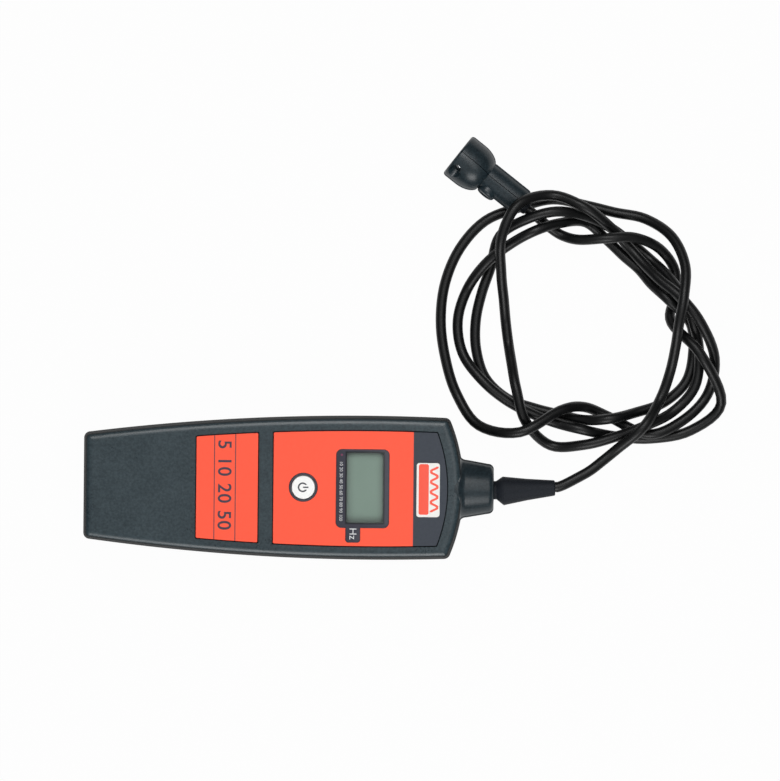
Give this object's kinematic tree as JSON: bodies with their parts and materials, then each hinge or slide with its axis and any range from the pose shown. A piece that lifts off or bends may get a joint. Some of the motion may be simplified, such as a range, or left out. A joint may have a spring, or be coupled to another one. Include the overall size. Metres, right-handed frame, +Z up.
{
  "type": "belt tension tester",
  "caption": "Handheld belt tension tester: a tapered case with a display and a power button, joined by a looped cable to a small optical sensor head.",
  "frame": {"origin": "middle of the handset's flat back, on the surface that it lies on", "axes": "+X runs along the handset to the end where the cable leaves, +Y to the side where the sensor head lies, +Z up out of the display"},
  "size_m": [0.3211, 0.2121, 0.0328],
  "materials": {
    "case_plastic": "fine moulded texture, slate grey",
    "label_film": "satin printed film, warm red with a slate end",
    "badge_film": "white film with a plain wave",
    "black_plastic": "satin moulded plastic",
    "white_plastic": "satin moulded plastic",
    "window": "clear acrylic with a printed border",
    "display": "grey-green liquid crystal",
    "rubber": "satin flexible moulding",
    "cable": "glossy extruded jacket",
    "board": "solder mask",
    "chip": "moulded epoxy",
    "steel": "zinc plated",
    "battery_case": "plain sleeve",
    "foam": "open foam",
    "red_wire": "insulated wire",
    "clear_lens": "clear epoxy dome",
    "dark_lens": "smoked epoxy dome",
    "red_lens": "tinted epoxy dome"
  },
  "bodies": {
    "handset": {"bottom_shell": "case_plastic", "top_shell": "case_plastic", "main_label": "label_film", "reference_label": "label_film", "badge_plate": "badge_film", "display_window": "window", "display_glass": "display", "display_frame": "white_plastic", "zebra_strip_tail": "rubber", "zebra_strip_nose": "rubber", "button_ring": "black_plastic", "switch_body": "black_plastic", "circuit_board": "board", "processor": "chip", "amplifier_chip": "chip", "crystal": "steel", "capacitor_left": "chip", "capacitor_right": "chip", "cable_header": "white_plastic", "battery": "battery_case", "battery_clip": "black_plastic", "battery_pad": "foam", "battery_lead_positive": "red_wire", "battery_lead_negative": "chip", "nose_collar": "case_plastic", "inner_lead": "cable", "cable_clamp": "black_plastic", "strain_relief": "rubber", "case_screw_1": "steel", "case_screw_2": "steel", "case_screw_3": "steel", "case_screw_4": "steel", "board_screw_1": "steel", "board_screw_2": "steel", "board_screw_3": "steel", "board_screw_4": "steel", "clamp_screw_right": "steel", "clamp_screw_left": "steel", "sensor_shell_left": "case_plastic", "sensor_shell_right": "case_plastic", "sensor_face": "black_plastic", "infrared_emitter": "clear_lens", "infrared_detector": "dark_lens", "aiming_lamp": "red_lens", "sensor_board": "board", "sensor_grommet": "rubber", "sensor_screw_front": "steel", "sensor_screw_rear": "steel", "lead_run": "cable", "lead_loops": "cable"},
    "button": {"power_button": "white_plastic", "switch_plunger": "black_plastic"},
    "door": {"battery_door": "case_plastic"}
  },
  "joints": [
    {"name": "button_press", "type": "slide", "parent": "handset", "child": "button", "axis": [0, 0, -1], "range_m": [0, 0.0004], "stiffness_N_per_m": 600, "springref_m": -0.0005},
    {"name": "door_slide", "type": "slide", "parent": "handset", "child": "door", "axis": [-1, 0, 0], "range_m": [0, 0.012]}
  ]
}
